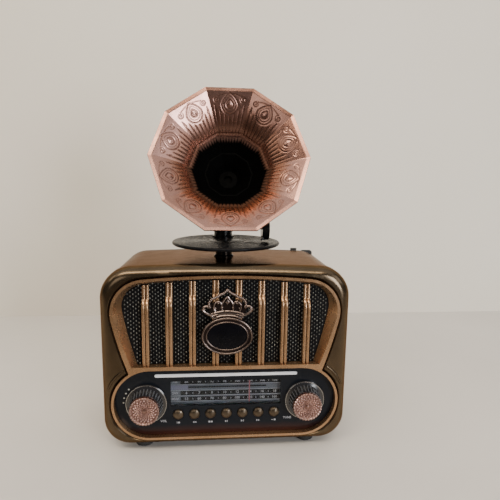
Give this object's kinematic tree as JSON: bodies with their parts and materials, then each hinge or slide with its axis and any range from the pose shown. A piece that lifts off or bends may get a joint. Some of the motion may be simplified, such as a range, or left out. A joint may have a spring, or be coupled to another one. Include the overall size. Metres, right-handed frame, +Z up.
{
  "type": "table radio with gramophone horn",
  "caption": "Retro table radio: arched two-part case, barred speaker grille, tuning dial with knobs and push buttons, and a faceted horn on a neck above a record disc.",
  "frame": {"origin": "middle of the overall footprint, on the surface that the rubber feet stand on", "axes": "+Z up, +Y from the dial's face to the rear cover, +X towards the tuning knob"},
  "size_m": [0.201, 0.1273, 0.3068],
  "materials": {
    "case_bronze": "satin metallic bronze lacquer",
    "back_black": "fine textured",
    "antique_gold": "brushed antique gold plating",
    "mesh_black": "matt black perforated sheet",
    "board_wood": "plain fibreboard",
    "steel": "plain",
    "magnet_black": "ferrite",
    "cone_paper": "pulp",
    "badge_silver": "antique plated relief",
    "badge_lens": "gloss black dome",
    "panel_black": "gloss black",
    "clear_window": "clear",
    "scale_print": "printed dial",
    "light_diffuser": "milky",
    "led_clear": "clear",
    "pointer_red": "red",
    "cord_white": "braided",
    "inner_plastic": "natural",
    "circuit_green": "solder mask",
    "switch_black": "plain",
    "button_bronze": "satin bronze plating",
    "knob_black": "gloss black",
    "knob_copper": "satin copper plating",
    "cell_blue": "shrink film",
    "socket_nickel": "nickel plated",
    "antenna_chrome": "polished",
    "record_black": "grooved gloss black",
    "post_black": "gloss black",
    "horn_copper": "polished engraved copper plating",
    "horn_black": "black lacquer",
    "foot_rubber": "matt"
  },
  "bodies": {
    "root": {"front_bezel": "case_bronze", "rear_housing": "case_bronze", "rear_cover": "back_black", "case_screws": "steel", "battery_cell": "cell_blue", "rubber_feet": "foot_rubber", "trim_frame": "antique_gold", "grille_bars": "antique_gold", "speaker_mesh": "mesh_black", "baffle_board": "board_wood", "speaker_basket": "steel", "speaker_cone": "cone_paper", "speaker_magnet": "magnet_black", "speaker_screws": "steel", "crown_emblem": "badge_silver", "oval_ring": "badge_silver", "oval_lens": "badge_lens", "dial_panel": "panel_black", "dial_window": "clear_window", "dial_scale": "scale_print", "light_strip": "light_diffuser", "indicator_leds": "led_clear", "dial_cord": "cord_white", "tact_switches": "switch_black", "main_board": "circuit_green", "volume_control": "steel", "tuning_capacitor": "inner_plastic", "audio_jack": "switch_black", "usb_socket": "socket_nickel", "charge_socket": "socket_nickel", "antenna_base": "back_black", "antenna_rest": "back_black", "pedestal": "post_black", "record_disc": "record_black", "neck_socket": "post_black"},
    "volume_knob": {"volume_grip": "knob_black", "volume_cap": "knob_copper", "volume_shaft": "inner_plastic"},
    "tuning_knob": {"tuning_grip": "knob_black", "tuning_cap": "knob_copper", "tuning_shaft": "inner_plastic"},
    "idler_pulley": {"cord_pulley": "inner_plastic"},
    "pointer": {"dial_pointer": "pointer_red"},
    "door": {"battery_door": "back_black"},
    "aerial_knuckle": {"antenna_knuckle": "antenna_chrome"},
    "aerial_1": {"antenna_tube_1": "antenna_chrome"},
    "aerial_2": {"antenna_tube_2": "antenna_chrome"},
    "aerial_3": {"antenna_tube_3": "antenna_chrome"},
    "horn": {"horn_neck": "post_black", "horn_throat": "horn_black", "horn_bell": "horn_copper", "sound_box": "post_black", "tonearm": "post_black"},
    "push_1": {"button_1": "button_bronze"},
    "push_2": {"button_2": "button_bronze"},
    "push_3": {"button_3": "button_bronze"},
    "push_4": {"button_4": "button_bronze"},
    "push_5": {"button_5": "button_bronze"},
    "push_6": {"button_6": "button_bronze"},
    "push_7": {"button_7": "button_bronze"}
  },
  "joints": [
    {"name": "volume_turn", "type": "hinge", "parent": "root", "child": "volume_knob", "pos_m": [-0.0656, -0.0545, 0.0417], "axis": [0, 1, 0], "range_deg": [-150, 150]},
    {"name": "tuning_turn", "type": "hinge", "parent": "root", "child": "tuning_knob", "pos_m": [0.0656, -0.0545, 0.0417], "axis": [0, 1, 0], "range_deg": [-440, 164]},
    {"name": "idler_turn", "type": "hinge", "parent": "root", "child": "idler_pulley", "pos_m": [-0.051, -0.0413, 0.0417], "axis": [0, 1, 0], "range_deg": [-441, 165]},
    {"name": "pointer_slide", "type": "slide", "parent": "root", "child": "pointer", "axis": [1, 0, 0], "range_m": [-0.0612, 0.0228]},
    {"name": "button_1_press", "type": "slide", "parent": "root", "child": "push_1", "axis": [0, 1, 0], "range_m": [0, 0.0008], "stiffness_N_per_m": 400, "springref_m": -0.0008},
    {"name": "button_2_press", "type": "slide", "parent": "root", "child": "push_2", "axis": [0, 1, 0], "range_m": [0, 0.0008], "stiffness_N_per_m": 400, "springref_m": -0.0008},
    {"name": "button_3_press", "type": "slide", "parent": "root", "child": "push_3", "axis": [0, 1, 0], "range_m": [0, 0.0008], "stiffness_N_per_m": 400, "springref_m": -0.0008},
    {"name": "button_4_press", "type": "slide", "parent": "root", "child": "push_4", "axis": [0, 1, 0], "range_m": [0, 0.0008], "stiffness_N_per_m": 400, "springref_m": -0.0008},
    {"name": "button_5_press", "type": "slide", "parent": "root", "child": "push_5", "axis": [0, 1, 0], "range_m": [0, 0.0008], "stiffness_N_per_m": 400, "springref_m": -0.0008},
    {"name": "button_6_press", "type": "slide", "parent": "root", "child": "push_6", "axis": [0, 1, 0], "range_m": [0, 0.0008], "stiffness_N_per_m": 400, "springref_m": -0.0008},
    {"name": "button_7_press", "type": "slide", "parent": "root", "child": "push_7", "axis": [0, 1, 0], "range_m": [0, 0.0008], "stiffness_N_per_m": 400, "springref_m": -0.0008},
    {"name": "door_pull", "type": "slide", "parent": "root", "child": "door", "axis": [0, 1, 0], "range_m": [0, 0.02]},
    {"name": "aerial_swivel", "type": "hinge", "parent": "root", "child": "aerial_knuckle", "pos_m": [0.083, 0.0485, 0.1506], "axis": [0, 1, 0], "range_deg": [0, 150]},
    {"name": "aerial_tilt", "type": "hinge", "parent": "aerial_knuckle", "child": "aerial_1", "pos_m": [0.083, 0.0485, 0.1506], "axis": [0, 0, -1], "range_deg": [0, 90]},
    {"name": "aerial_draw_1", "type": "slide", "parent": "aerial_1", "child": "aerial_2", "axis": [-1, 0, 0], "range_m": [0, 0.062]},
    {"name": "aerial_draw_2", "type": "slide", "parent": "aerial_2", "child": "aerial_3", "axis": [-1, 0, 0], "range_m": [0, 0.06]},
    {"name": "horn_swivel", "type": "hinge", "parent": "root", "child": "horn", "pos_m": [-0.002, 0.026, 0.172], "axis": [0, 0, 1], "range_deg": [-45, 45]}
  ],
  "couplings": [
    {"joint": "pointer_slide", "follows": "tuning_turn", "m_per_rad": 0.00795},
    {"joint": "idler_turn", "follows": "tuning_turn", "ratio": 1}
  ]
}
